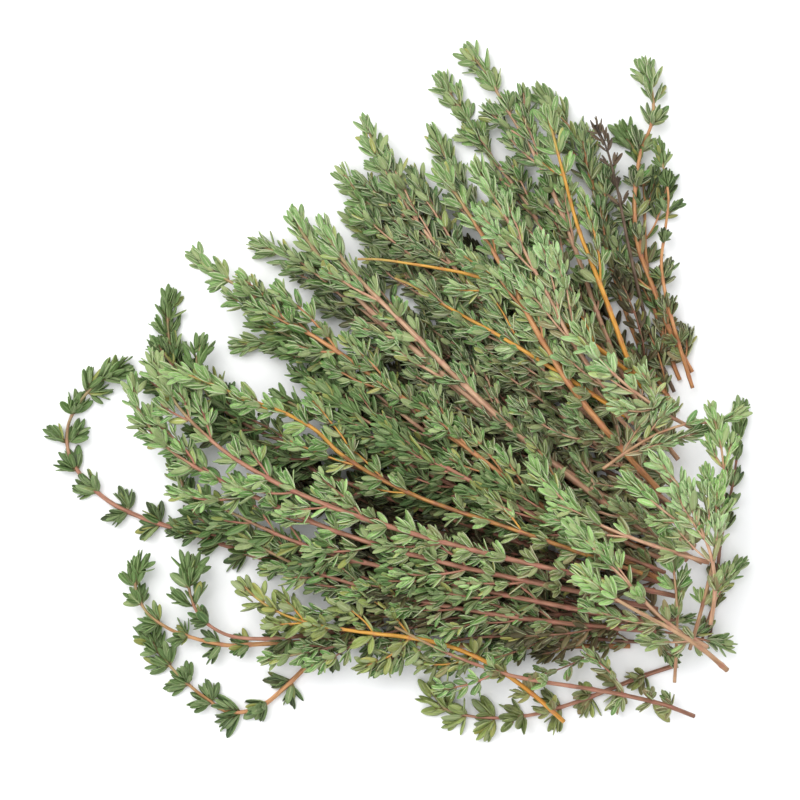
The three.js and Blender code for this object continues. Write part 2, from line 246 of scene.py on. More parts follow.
FIRST_LAID = {
    "sprig_left_hook": HOOKED,
    "sprig_lower_loop": replace(HOOKED, stem="orange"),
    "sprig_lower_hook": replace(HOOKED, stem="orange", length=5.8 * MM),
    "sprig_lower_upright": replace(HOOKED, spacing=7.0 * MM),
    "sprig_left_upright": replace(OPEN, stem="russet", leaf="deep", shoots=0.7, bare_shoots=0.9),
    "sprig_bottom_curved": replace(BROAD, stem="russet", length=7.2 * MM, spread=54.0, tuft=6, shoots=0.0),
    "sprig_bottom_left": WISPY,
    "sprig_bottom_middle": WISPY,
    "sprig_right_outer": replace(WIRY, leaf="deep", spread=22.0, shoots=0.0),
    "sprig_right_tuft": replace(WIRY, stem="russet", shoots=0.0),
    "sprig_right_low_tuft": replace(WIRY, stem="russet", shoots=0.6, shoot_length=9.0 * MM,
                                    bare_growth=1.0),
}

UNDERNEATH = {f"sprig_under_{number}": HIDDEN for number in range(1, 7)}

FAN = {
    "sprig_left_inner": replace(LEFT, shoots=0.95),
    "sprig_left_low": replace(LEFT, leaf="deep", shoots=0.6),
    "sprig_left_outer": LEFT,
    "sprig_left_second": LEFT,
    "sprig_left_peak": replace(LEFT, leaf="deep", spacing=7.0 * MM),
    "sprig_left_dark": replace(LEFT, stem="brown", leaf="deep"),
    "sprig_left_edge": replace(LEFT, leaf="deep", shoots=0.5),
    "sprig_upper_left_dark": replace(DENSE, stem="russet", leaf="deep"),
    "sprig_upper_left_low": replace(DENSE, stem="orange", shoot_length=13.0 * MM),
    "sprig_upper_left_side": replace(BUSHY, stem="pink", leaf="deep"),
    "sprig_upper_left_outer": replace(OPEN, stem="orange", shoots=0.85, shoot_length=16.0 * MM,
                                      shoot_start=19.0 * MM, bare_shoots=0.8, bare_growth=0.9),
    "sprig_upper_left_rosette": replace(BUSHY, stem="pink", shoots=0.95, shoot_length=19.0 * MM),
    "sprig_upper_left_inner": replace(BUSHY, stem="pink", shoots=0.9),
    "sprig_upper_left_high": replace(BUSHY, stem="pink"),
    "sprig_upper_left_peak": replace(BUSHY, stem="pink", leaf="sage"),
    "sprig_top_left": replace(DENSE, stem="pink", leaf="sage"),
    "sprig_top_second": replace(OPEN, stem="pink", shoots=0.8, shoot_start=20.0 * MM, bare_growth=0.8),
    "sprig_top_outer": replace(OPEN, stem="pink", shoots=0.5, shoot_start=22.0 * MM, bare_growth=0.8),
    "sprig_top_pale": replace(BUSHY, stem="orange", leaf="sage", shoot_length=16.0 * MM, bare_shoots=0.8),
    "sprig_top_tuft": replace(BUSHY, stem="orange", leaf="deep", shoot_length=13.0 * MM, bare_growth=1.0),
    "sprig_top_right": replace(OPEN, stem="orange", bare_growth=1.0, shoots=0.6, shoot_start=45.0 * MM,
                               bare_shoots=1.0, shoot_length=9.0 * MM),
    "sprig_top_thin": replace(OPEN, stem="orange", leaf="deep", length=4.8 * MM, radius=0.45 * MM,
                              shoots=0.4, shoot_start=45.0 * MM, bare_shoots=1.0, shoot_length=7.0 * MM,
                              bare_growth=1.0),
}

DRY = {
    "twig_dry": Habit(stem="dry", leaf="dry", spacing=5.0 * MM, length=4.2 * MM, slimness=0.26,
                      tuft=3, shoots=0.25, shoot_length=9.0 * MM, bare_growth=0.0, radius=0.45 * MM),
}

LAST_LAID = {
    "sprig_left_golden": replace(TOP, stem="golden_brown", shoots=0.5, bare_growth=0.95),
    "sprig_russet_first": replace(TOP, stem="pink", leaf="sage", radius=0.8 * MM),
    "sprig_russet_second": replace(TOP, stem="pink", leaf="sage", radius=0.74 * MM),
    "sprig_middle_diagonal": replace(TOP, stem="orange", radius=0.68 * MM),
    "sprig_middle_upper": replace(DENSE, stem="pink", leaf="sage"),
    "sprig_top_golden": replace(TOP, stem="golden", radius=0.56 * MM, bare_growth=0.35),
    "sprig_middle_right": replace(BUSHY, stem="pink", leaf="sage", shoot_length=14.0 * MM),
    "sprig_right_pale": replace(WIRY, stem="tan", leaf="sage", shoots=0.8, bare_growth=0.9),
    "sprig_right_inner": replace(WIRY, stem="tan", shoots=0.6, shoot_length=11.0 * MM,
                                 shoot_start=11.0 * MM),
    "sprig_right_cut": replace(WIRY, stem="tan", shoots=0.9, shoot_length=12.0 * MM),
    "sprig_middle_first": replace(DENSE, stem="pink"),
    "sprig_middle_second": replace(DENSE, stem="pink"),
    "sprig_middle_third": replace(BUSHY, stem="pink", leaf="sage", shoot_length=14.0 * MM),
    "sprig_middle_fourth": replace(DENSE, stem="pink"),
    "sprig_stout_tan": replace(OPEN, stem="tan", radius=0.62 * MM, shoots=0.4),
    "sprig_bottom_pale": replace(BROAD, stem="golden", shoots=0.95),
}

BARE = {
    "stem_golden_upper": replace(DENSE, stem="golden", leaf="sage", bare_tip=0.38, bare_growth=0.95),
    "stem_golden_lower": replace(DENSE, stem="golden", leaf="sage", bare_tip=0.34, bare_growth=0.95),
    "stem_bottom_bare": replace(WISPY, stem="russet", shoots=0.5, bare_growth=0.4, radius=0.5 * MM,
                                bare_tip=0.1),
}


# ---- Lines and frames -------------------------------------------------------------------------

def unit(vector):
    """The vector at length 1."""
    return vector / max(np.linalg.norm(vector), 1e-12)


def ring_centres(node):
    """Centres and half widths of a frame sprig's rings, from its leafy tip to its cut end."""
    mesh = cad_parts[node].data
    co = np.zeros(len(mesh.vertices) * 3)
    mesh.vertices.foreach_get("co", co)
    keys, place = np.unique(np.round(co.reshape(-1, 3) / WELD), axis=0, return_inverse=True)
    points = keys * WELD
    place = place.reshape(-1)
    near = [set() for _ in points]
    for edge in mesh.edges:
        a, b = (int(place[index]) for index in edge.vertices)
        if a != b:
            near[a].add(b)
            near[b].add(a)
    gap = [np.linalg.norm(points[list(ring)].mean(0) - points[i]) for i, ring in enumerate(near)]
    caps = np.argsort(gap)[:2]
    chains = [rings_from(int(cap), points, near) for cap in caps]
    widths = [chain[1][0] for chain in chains]
    if abs(widths[0] - widths[1]) > END_DIFFERENCE:
        return chains[int(np.argmax(widths))]
    # The cut ends gather on the right, so the tip of an even stem is its left end.
    return chains[int(np.argmin([chain[0][0][0] for chain in chains]))]


def rings_from(cap, points, near):
    """Walks from one end cap over a sprig's rings, and gives each ring's centre and half width."""
    seen, level, centres, widths = {cap}, {cap}, [], []
    while True:
        level = {other for index in level for other in near[index]} - seen
        if len(level) < 3:
            break
        seen |= level
        ring = points[sorted(level)]
        centre = ring.mean(0)
        centres.append(centre)
        widths.append(np.linalg.norm(ring - centre, axis=1).max())
    return np.array(centres), np.array(widths)


class Route:
    """A smooth line from a tip to its base, with the directions that leaves need."""

    def __init__(self, points, step=STEM_STEP):
        points = np.asarray(points, float)
        chord = np.concatenate(([0.0], np.cumsum(np.linalg.norm(np.diff(points, axis=0), axis=1))))
        slope = np.gradient(points, chord, axis=0)
        count = max(int(chord[-1] / step) + 1, 4)
        wanted = np.linspace(0, chord[-1], count)
        left = np.clip(np.searchsorted(chord, wanted, "right") - 1, 0, len(points) - 2)
        span = (chord[left + 1] - chord[left])[:, None]
        t = (wanted - chord[left])[:, None] / span
        after = left + 1
        self.points = ((2 * t**3 - 3 * t**2 + 1) * points[left] + (t**3 - 2 * t**2 + t) * span * slope[left]
                       + (3 * t**2 - 2 * t**3) * points[after] + (t**3 - t**2) * span * slope[after])
        steps = np.linalg.norm(np.diff(self.points, axis=0), axis=1)
        self.distance = np.concatenate(([0.0], np.cumsum(steps)))
        self.length = self.distance[-1]
        along = np.gradient(self.points, self.distance, axis=0)
        self.growth = -along / np.linalg.norm(along, axis=1)[:, None]

    def trimmed(self, cut):
        """The same line without its first stretch."""
        keep = self.distance >= cut
        self.points, self.growth = self.points[keep], self.growth[keep]
        self.distance = self.distance[keep] - self.distance[keep][0]
        self.length = self.distance[-1]
        return self

    def at(self, distance):
        """Place, growth direction, side and up at a distance from the tip."""
        place, growth = (np.array([np.interp(distance, self.distance, row) for row in values.T])
                         for values in (self.points, self.growth))
        growth = unit(growth)
        side = unit(np.cross(growth, UP))
        return place, growth, side, np.cross(side, growth)


# ---- Growing ----------------------------------------------------------------------------------

class Blade(NamedTuple):
    """One leaf: where it sits, how it lies and how it has aged."""
    base: np.ndarray
    direction: np.ndarray
    face: np.ndarray
    length: float
    width: float
    bend: float
    twist: float
    fold: float
    # The tone is the leaf's own random tone with painted light and shade by its height in the heap.
    tone: float
    age: float
    chance: float


class Tube(NamedTuple):
    """One bare stem: its line, the distances of its leaf pairs, and whether it is the main stem."""
    route: Route
    marks: list
    main: bool


@dataclass
class Knot:
    """A place on a stem where two leaves stand: how far they have opened, and how they have aged."""
    place: np.ndarray
    growth: np.ndarray
    side: np.ndarray
    up: np.ndarray
    distance: float
    opened: float
    age: float
    main: bool
    bare: bool


class Plant:
    """Gathers the blades and the tubes of one sprig."""

    def __init__(self, habit, rng):
        self.habit = habit
        self.rng = rng
        self.tone = MIDDLE_TONE + rng.normal(0, SPRIG_TONES)
        self.blades = []
        self.tubes = []

    def add_blade(self, base, direction, face, length, slimness, age, bend):
        """Notes one leaf. It turns up before it would reach the surface underneath."""
        rng = self.rng
        direction = unit(direction)
        lowest = FLOOR_ROOM - base[2]
        if direction[2] * length < lowest:
            direction = unit(np.array([direction[0], direction[1], lowest / length]))
        face = face + rng.normal(0, FACE_JITTER, 3)
        face = unit(face - face.dot(direction) * direction)
        if rng.uniform() < TURNED_OVER:
            face = -face
        # Painted light and shade: the tone is made darker low in the heap and lighter near its top.
        painted_light_and_shade = PAINTED_DEPTH_SHADE * (base[2] / HEAP_HEIGHT - EVEN_LEVEL)
        tone = float(np.clip(rng.normal(self.tone, LEAF_TONES) + painted_light_and_shade, 0, 1))
        width = length * slimness * rng.uniform(*WIDTH_RANGE)
        bend += rng.normal(0, BEND_JITTER)
        twist = rng.normal(0, TWIST_JITTER)
        fold = rng.uniform(*FOLD_RANGE)
        chance = rng.uniform()
        self.blades.append(Blade(base, direction, face, length, width, bend, twist, fold, tone, age, chance))

    def add_tuft(self, base, axis, count, length, age):
        """Grows the short shoot of small leaves that sits in an axil."""
        rng, habit = self.rng, self.habit
        across = unit(np.cross(axis, UP) + rng.normal(0, 0.2, 3))
        over = np.cross(across, axis)
        reach = rng.uniform(*TUFT_REACH) * length
        turn = rng.uniform(0, math.pi)
        for index in range(count):
            share = (index + 0.5) / count
            turn += math.pi if index % 2 else math.pi / 2
            away = math.cos(turn) * across + math.sin(turn) * over * TUFT_FLATNESS
            spread = math.radians(habit.spread * rng.uniform(*TUFT_SPREAD) * (1 - TUFT_CLOSING * share))
            direction = math.cos(spread) * axis + math.sin(spread) * away
            face = 0.55 * (math.sin(spread) * axis - math.cos(spread) * away) + 0.5 * UP
            size = length * rng.uniform(*TUFT_SIZE) * (1 - TUFT_DWINDLING * share)
            self.add_blade(base + axis * reach * share, direction, face, size,
                           habit.slimness * TUFT_SLIMNESS, age, TUFT_BEND)

    def clothe(self, route, leafy, main, age):
        """Sets leaf pairs, tufts and shoots along a stem whose leaves thin out past the distance leafy."""
        rng, habit = self.rng, self.habit
        size = 1.0 if main else SHOOT_LEAVES
        gap = habit.spacing * (1.0 if main else SHOOT_SPACING)
        first = TIP_SPACING * size
        ageing = MAIN_AGEING if main else SHOOT_AGEING
        turn = rng.uniform(0, math.pi)
        distance = FIRST_PAIR
        marks = []
        while distance < route.length - LAST_PAIR:
            opened = min(len(marks) / OPENING_PAIRS, 1.0)
            marks.append(distance)
            bare = distance > leafy
            keep = 1.0
            if bare:
                keep = habit.bare_growth if route.length - distance > CUT_END else CUT_END_GROWTH
            if main and distance < habit.bare_tip * route.length:
                keep = 0.0
            if rng.uniform() < keep:
                older = age + ageing * distance / route.length
                self.add_pair(Knot(*route.at(distance), distance, opened, older, main, bare), turn, size)
            turn += math.pi / 2 + rng.normal(0, TURN_JITTER)
            distance += between(first, gap, opened**SPACING_CURVE) * rng.uniform(*SPACING_RANGE)
        self.tubes.append(Tube(route, marks, main))

    def add_pair(self, knot, turn, size):
        """Grows two opposite leaves with what stands in their axils."""
        rng, habit = self.rng, self.habit
        size *= 1.0 - OLD_SHRINKING * knot.age
        for way in (turn, turn + math.pi):
            out = unit(math.cos(way) * knot.side + 0.5 * math.sin(way) * knot.up)
            spread = habit.spread * between(*PAIR_SPREAD, knot.opened) + rng.normal(0, SPREAD_JITTER)
            spread = math.radians(spread)
            direction = math.cos(spread) * knot.growth + math.sin(spread) * out
            face = 0.6 * (math.sin(spread) * knot.growth - math.cos(spread) * out) + 0.5 * UP
            length = habit.length * size * between(*PAIR_LENGTH, knot.opened) * rng.uniform(*LENGTH_RANGE)
            base = knot.place + out * habit.radius * 0.6
            bend = between(*PAIR_BEND, knot.opened)
            self.add_blade(base, direction, face, length, habit.slimness, knot.age, bend)
            if knot.opened >= AXIL_OPENING:
                self.fill_axil(knot, base, out, habit.length * size)

    def fill_axil(self, knot, base, out, length):
        """Grows a side shoot or a tuft between a leaf and its stem."""
        rng, habit = self.rng, self.habit
        filled = between(*AXIL_FILLING, knot.opened)
        widen = BARE_LEAN if knot.bare else 1.0
        lean = math.radians(min(habit.spread * rng.uniform(*AXIL_LEAN) * widen * filled, MOST_LEAN))
        axis = unit(math.cos(lean) * knot.growth + math.sin(lean) * out)
        likely = habit.shoots * (habit.bare_shoots if knot.bare else 1.0)
        if knot.main and knot.distance > habit.shoot_start and rng.uniform() < likely:
            most = knot.distance - 0.6 * habit.shoot_start
            self.add_shoot(base, unit(axis * PRESSED), knot.growth, most, 0.5 * knot.age)
            return
        count = int((habit.tuft + rng.integers(-2, 3)) * filled) - (0 if knot.main else 2)
        self.add_tuft(base, axis, max(count, 2), length, knot.age * 0.7)

    def add_shoot(self, base, axis, growth, most, age):
        """Grows a side shoot that leaves its stem at an angle and then bends to follow it."""
        rng = self.rng
        steps = int(min(self.habit.shoot_length * rng.uniform(*SHOOT_RANGE), most) / MM)
        points, heading = [base], axis
        for _ in range(max(steps, LEAST_SHOOT)):
            heading = unit(heading + SHOOT_TURN * (growth - heading) + rng.normal(0, SHOOT_STRAY, 3))
            point = points[-1] + heading * MM
            point[2] = max(point[2], SHOOT_ROOM)
            points.append(point)
        self.clothe(Route(points[::-1], SHOOT_STEP), math.inf, False, age)


# ---- Meshes -----------------------------------------------------------------------------------

def build_mesh(name, points, loops, sizes, uvs, attributes):
    """Makes a smooth mesh object out of flat arrays, with its bake layout and its attributes."""
    mesh = bpy.data.meshes.new(name)
    mesh.vertices.add(len(points))
    mesh.vertices.foreach_set("co", np.ascontiguousarray(points, np.float32).ravel())
    mesh.loops.add(len(loops))
    mesh.loops.foreach_set("vertex_index", loops.astype(np.int32))
    mesh.polygons.add(len(sizes))
    starts = np.concatenate(([0], np.cumsum(sizes)[:-1]))
    mesh.polygons.foreach_set("loop_start", starts.astype(np.int32))
    mesh.polygons.foreach_set("use_smooth", np.ones(len(sizes), bool))
    mesh.update(calc_edges=True)
    layer = mesh.uv_layers.new(name="OFBake")
    layer.uv.foreach_set("vector", np.ascontiguousarray(uvs, np.float32).ravel())
    for title, values in attributes.items():
        attribute = mesh.attributes.new(title, "FLOAT_VECTOR", "POINT")
        attribute.data.foreach_set("vector", np.ascontiguousarray(values, np.float32).ravel())
    if mesh.validate(verbose=False):
        raise RuntimeError(f"{name} held faces that had to be mended")
    piece = bpy.data.objects.new(name, mesh)
    bpy.context.scene.collection.objects.link(piece)
    return piece


def blade_template():
    """Corner lists and flat layout of one blade: its side faces, its tip and its base."""
    rings, around = len(BLADE_STATIONS), len(BLADE_ACROSS)
    tip, half = rings * around, around // 2
    loops, sizes, uvs = [], [], []
    heights = [BAKE_PAD + BAKE_INNER * (0.1 + 0.9 * station) for station in BLADE_STATIONS]
    heights.append(1 - BAKE_PAD)

    def flat(column, ring):
        """Where a corner lies in the blade's cell: the upper face on the left, the lower on the right."""
        return BAKE_PAD + BAKE_INNER * column / half * (1 - FACE_GUTTER) / 2, heights[ring]

    for ring in range(rings):
        for column in range(around):
            low = [ring * around + column, ring * around + (column + 1) % around]
            corners = [flat(column, ring), flat(column + 1, ring)]
            if ring < rings - 1:
                loops += [*low, low[1] + around, low[0] + around]
                corners += [flat(column + 1, ring + 1), flat(column, ring + 1)]
            else:
                loops += [*low, tip]
                corners.append(((corners[0][0] + corners[1][0]) / 2, heights[-1]))
            sizes.append(len(corners))
            shift = 0.0 if column < half else FACE_GUTTER * BAKE_INNER
            uvs += [(x + shift, y) for x, y in corners]
    loops += list(range(around))[::-1]
    sizes.append(around)
    reach = BAKE_PAD / 2
    for column in range(around)[::-1]:
        angle = 2 * math.pi * column / around
        uvs.append((0.5 + reach * math.cos(angle), BAKE_PAD * 0.9 + reach * math.sin(angle)))
    return np.array(loops), np.array(sizes), np.array(uvs)


def cells(count, wide):
    """Lower corners and size of a grid of bake cells, each wide times as wide as it is high."""
    columns = max(int(math.ceil(math.sqrt(count / wide))), 1)
    rows = int(math.ceil(count / columns))
    index = np.arange(count)
    corners = np.stack((index % columns / columns, index // columns / rows), axis=1)
    return corners, np.array([1 / columns, 1 / rows])


def grow_blades(name, blades, thickness):
    """Builds all the leaves of one piece as closed blades with rolled edges and a rib underneath."""
    count = len(blades)
    columns = [np.array(column) for column in zip(*blades)]
    base, direction, face = columns[:3]
    length, width, bend, twist, fold, tone, age, chance = (column[:, None, None] for column in columns[3:])
    stations, shares = (np.array(values)[None, :, None] for values in (BLADE_STATIONS, BLADE_WIDTHS))
    across, upper = (np.array(values)[None, None, :] for values in (BLADE_ACROSS, BLADE_UPPER))
    bend = np.where(np.abs(bend) < LEAST_BEND, LEAST_BEND, bend)
    turned = bend * stations
    forward = length * np.sin(turned) / bend
    down = length * (1 - np.cos(turned)) / bend
    half = 0.5 * width * shares
    deep = thickness * np.minimum(1.0, 0.55 + 0.5 * shares)
    lift = half * (fold * np.abs(across) - EDGE_ROLL * (np.abs(across) == 1))
    height = lift - (1 - upper) * deep * np.where(across == 0, RIB_DEPTH, 1.0)
    angle = twist * stations
    sideways = half * across * np.cos(angle) - height * np.sin(angle)
    raised = half * across * np.sin(angle) + height * np.cos(angle)
    d, n, c = (vector[:, None, None, :] for vector in (direction, face, np.cross(direction, face)))
    normal = np.cos(turned)[..., None] * n + np.sin(turned)[..., None] * d
    rings = (base[:, None, None, :] + forward[..., None] * d - down[..., None] * n
             + sideways[..., None] * c + raised[..., None] * normal)
    reach, drop = (length * part / bend for part in (np.sin(bend), 1 - np.cos(bend)))
    tips = base + reach[:, 0] * direction - drop[:, 0] * face
    points = np.concatenate((rings.reshape(count, -1, 3), tips[:, None, :]), axis=1)
    low = points[..., 2] < FLOOR_ROOM
    sunk = FLOOR_ROOM * np.exp((points[..., 2] - FLOOR_ROOM) / FLOOR_ROOM)
    points[..., 2] = np.where(low, sunk, points[..., 2])
    per = points.shape[1]
    loops, sizes, uvs = blade_template()
    corners, cell = cells(count, LEAF_CELL)
    shape = np.ones((per, 3)) * (1.0, 0.0, 0.5)
    shape[:-1, 0] = np.repeat(BLADE_STATIONS, len(BLADE_ACROSS))
    shape[:-1, 1] = np.tile(BLADE_ACROSS, len(BLADE_STATIONS))
    shape[:-1, 2] = np.tile(BLADE_UPPER, len(BLADE_STATIONS))
    # The tone in these values holds painted light and shade by the leaf's height in the heap.
    life_and_shade = np.concatenate((tone, age, chance), axis=2).repeat(per, axis=1)
    return build_mesh(
        name, points.reshape(-1, 3),
        (loops[None, :] + np.arange(count)[:, None] * per).ravel(), np.tile(sizes, count),
        (uvs[None] * cell + corners[:, None, :]).reshape(-1, 2),
        {"blade": np.tile(shape, (count, 1)), "life_and_shade": life_and_shade.reshape(-1, 3)})


def tube_arrays(tube, habit, taper):
    """Points and attributes of one stem: four-sided with round corners, thicker at its leaf pairs."""
    route = tube.route
    count = len(route.distance)
    share = route.distance / route.length
    near = np.abs(route.distance[:, None] - np.array(tube.marks)[None, :]).min(1)
    knob = np.exp(-(near / KNOB_REACH) ** 2)
    radius = habit.radius * (1.0 if tube.main else SHOOT_RADIUS)
    radius = radius * between(0.5, 1.0, np.minimum(route.distance / taper, 1.0)) * between(0.94, 1.04, share)
    radius *= 1 + KNOB_RISE * knob
    side = np.cross(route.growth, UP)
    side /= np.linalg.norm(side, axis=1)[:, None]
    over = np.cross(side, route.growth)
    angle = 2 * math.pi * np.arange(STEM_SIDES) / STEM_SIDES
    reach = radius[:, None] * (1 + STEM_SQUARENESS * np.cos(4 * angle))[None, :]
    rings = (route.points[:, None, :] + (reach * np.cos(angle))[..., None] * side[:, None, :]
             + (reach * np.sin(angle))[..., None] * over[:, None, :])
    rings[..., 2] = np.maximum(rings[..., 2], STEM_ROOM)
    ends = np.stack((route.points[0] + route.growth[0] * radius[0] * 0.6, route.points[-1]))
    old = share if tube.main else between(0.1, 0.35, share)
    growth = np.repeat(np.stack((old, knob, np.zeros(count)), axis=1), STEM_SIDES, axis=0)
    ring = habit.radius * np.stack((np.cos(angle), np.sin(angle)), axis=1)
    grain = np.column_stack((np.tile(ring, (count, 1)), np.repeat(route.distance, STEM_SIDES)))
    return (np.concatenate((rings.reshape(-1, 3), ends)),
            np.concatenate((growth, [[old[0], 0, 0], [old[-1], 0, 1]])),
            np.concatenate((grain, [[0, 0, 0], [0, 0, route.length]])))


def tube_faces(count, first):
    """Corner lists and flat layout of a stem of count rings whose first point has this index."""
    loops, sizes, uvs, cell_of = [], [], [], []
    for ring in range(count - 1):
        row = ring % RINGS_PER_CELL
        low, high = row / RINGS_PER_CELL, (row + 1) / RINGS_PER_CELL
        for column in range(STEM_SIDES):
            a = ring * STEM_SIDES + column
            b = ring * STEM_SIDES + (column + 1) % STEM_SIDES
            loops += [a, b, b + STEM_SIDES, a + STEM_SIDES]
            left, right = column / STEM_SIDES, (column + 1) / STEM_SIDES
            uvs += [(left, low), (right, low), (right, high), (left, high)]
            sizes.append(4)
            cell_of += [ring // RINGS_PER_CELL] * 4
    used = (count - 2) // RINGS_PER_CELL + 1
    for centre, ring, way in ((count * STEM_SIDES, 0, -1), (count * STEM_SIDES + 1, count - 1, 1)):
        for column in range(STEM_SIDES):
            steps = (column, column + 1)[::way]
            loops += [centre] + [ring * STEM_SIDES + step % STEM_SIDES for step in steps]
            sizes.append(3)
            uvs.append((0.5, 0.5))
            for step in steps:
                turn = 2 * math.pi * step / STEM_SIDES
                uvs.append((0.5 + 0.45 * math.cos(turn), 0.5 + 0.45 * math.sin(turn)))
            cell_of += [used] * 3
        used += 1
    return np.array(loops) + first, sizes, np.array(uvs), np.array(cell_of), used


def grow_stems(name, plant, taper):
    """Builds the main stem and the side shoots' stems of one sprig as one piece."""
    shapes, faces = [], []
    first = used = 0
    for tube in plant.tubes:
        shapes.append(tube_arrays(tube, plant.habit, taper))
        loops, sizes, uvs, cell_of, more = tube_faces(len(tube.route.distance), first)
        faces.append((loops, sizes, uvs, cell_of + used))
        first += len(shapes[-1][0])
        used += more
    points, growth, grain = (np.concatenate(part) for part in zip(*shapes))
    loops, sizes, uvs, cell_of = (np.concatenate(part) for part in zip(*faces))
    corners, cell_size = cells(used, STEM_CELL)
    layout = corners[cell_of] + (BAKE_PAD + BAKE_INNER * uvs) * cell_size
    return build_mesh(name, points, loops, sizes, layout, {"growth": growth, "grain": grain})


# ---- Materials --------------------------------------------------------------------------------

class Nodes:
    """Short calls for placing and wiring nodes in one tree."""

    def __init__(self, tree):
        self.tree = tree

    def add(self, kind, **settings):
        """A new node with its settings."""
        node = self.tree.nodes.new(kind)
        for key, value in settings.items():
            setattr(node, key, value)
        return node

    def wire(self, source, target):
        """Joins a socket to a socket, or sets a plain value on it."""
        if isinstance(source, bpy.types.NodeSocket):
            self.tree.links.new(source, target)
        else:
            target.default_value = source

    def math(self, operation, first, second=0.0, clamp=False):
        """One Math node."""
        node = self.add("ShaderNodeMath", operation=operation, use_clamp=clamp)
        self.wire(first, node.inputs[0])
        self.wire(second, node.inputs[1])
        return node.outputs[0]

    def times(self, first, second):
        """The product of two values."""
        return self.math("MULTIPLY", first, second)

    def plus(self, first, second):
        """The sum of two values."""
        return self.math("ADD", first, second)

    def ramp(self, value, low, high, start=0.0, end=1.0):
        """Maps a value from low..high to start..end, smoothly and inside the limits."""
        node = self.add("ShaderNodeMapRange", interpolation_type="SMOOTHSTEP")
        for index, item in enumerate((value, low, high, start, end)):
            self.wire(item, node.inputs[index])
        return node.outputs[0]

    def layers(self, colour, *coats):
        """Lays coats over a colour. Each coat is a mask and its own colour."""
        for mask, coat in coats:
            node = self.add("ShaderNodeMix", data_type="RGBA")
            self.wire(mask, node.inputs["Factor"])
            self.wire(colour, node.inputs[6])
            self.wire(coat, node.inputs[7])
            colour = node.outputs[2]
        return colour

    def attribute(self, name):
        """The three numbers of a mesh attribute."""
        node = self.add("ShaderNodeAttribute", attribute_name=name)
        split = self.add("ShaderNodeSeparateXYZ")
        self.wire(node.outputs["Vector"], split.inputs[0])
        return split.outputs

    def noise(self, vector, scale, detail=2.0):
        """Noise, from 0 to 1."""
        node = self.add("ShaderNodeTexNoise")
        self.wire(vector, node.inputs["Vector"])
        self.wire(scale, node.inputs["Scale"])
        node.inputs["Detail"].default_value = detail
        return node.outputs["Fac"]


def node_group(name, inputs, outputs, fill):
    """A shader node group with named sockets, made once. fill wires it."""
    group = bpy.data.node_groups.get(name)
    if group:
        return group
    group = bpy.data.node_groups.new(name, "ShaderNodeTree")
    for title, kind, value in inputs:
        socket = group.interface.new_socket(title, in_out="INPUT", socket_type=kind)
        socket.default_value = value
    for title, kind in outputs.items():
        group.interface.new_socket(title, in_out="OUTPUT", socket_type=kind)
    nodes = Nodes(group)
    fill(nodes, nodes.add("NodeGroupInput").outputs, nodes.add("NodeGroupOutput").inputs)
    return group


FINISH_OUTPUTS = {"Color": "NodeSocketColor", "Roughness": "NodeSocketFloat", "Height": "NodeSocketFloat"}


def colour_inputs(*titles):
    """Input sockets for colours."""
    return [(title, "NodeSocketColor", (0.5, 0.5, 0.5, 1.0)) for title in titles]


def wire_mottle(nodes, given, out):
    """Soft patches and fine grain."""
    place = nodes.add("ShaderNodeTexCoord").outputs["Object"]
    patches = nodes.noise(place, given["Patch Scale"])
    grain = nodes.noise(place, given["Grain Scale"], 3.0)
    both = nodes.plus(nodes.times(patches, 0.6), nodes.times(grain, 0.4))
    nodes.wire(nodes.ramp(both, 0.3, 0.7), out["Value"])
    nodes.wire(grain, out["Grain"])


def mottle_group():
    """Patches and grain, shared by leaves, stems and dry growth."""
    inputs = (("Patch Scale", "NodeSocketFloat", 400.0), ("Grain Scale", "NodeSocketFloat", 2500.0))
    outputs = {"Value": "NodeSocketFloat", "Grain": "NodeSocketFloat"}
    return node_group("Mottle", inputs, outputs, wire_mottle)


def leaf_markings(nodes, along, side):
    """Masks of a blade's midrib, of its rolled edges and of its side veins."""
    rib_width = nodes.ramp(along, 0.0, 1.0, 0.24, 0.10)
    inside = nodes.ramp(nodes.math("DIVIDE", side, rib_width), 1.0, 0.35)
    rib = nodes.times(inside, nodes.ramp(along, 0.98, 0.6))
    edge = nodes.ramp(side, 0.62, 0.98, 0.0, 0.75)
    slant = nodes.add("ShaderNodeCombineXYZ")
    nodes.wire(nodes.math("SUBTRACT", along, nodes.times(side, 0.24)), slant.inputs[0])
    bands = nodes.add("ShaderNodeTexWave", wave_type="BANDS", bands_direction="X")
    nodes.wire(slant.outputs[0], bands.inputs["Vector"])
    bands.inputs["Scale"].default_value = 2.1
    return rib, edge, nodes.ramp(bands.outputs["Fac"], 0.78, 1.0)


def leaf_face(nodes, given, tone, age, chance):
    """Colour of a blade's upper face between its veins, and the mask of what has faded."""
    faded = nodes.times(nodes.ramp(age, 0.18, 0.6), nodes.ramp(chance, 0.85, 0.2, 0.15, 0.95))
    # The tone mixes the leaf's own tone with painted light and shade by height, so leaves low in the heap
    # lean towards Deep and those near its top towards Light.
    colour = nodes.layers(
        given["Deep"],
        (nodes.ramp(tone, 0.1, 0.62), given["Middle"]),
        (nodes.ramp(tone, 0.6, 1.0), given["Light"]),
        (nodes.ramp(age, 0.22, 0.0, 0.0, 0.55), given["Fresh"]),
        (nodes.ramp(chance, 0.84, 1.0, 0.0, 0.75), given["Yellow"]),
        (faded, given["Faded"]))
    return colour, faded


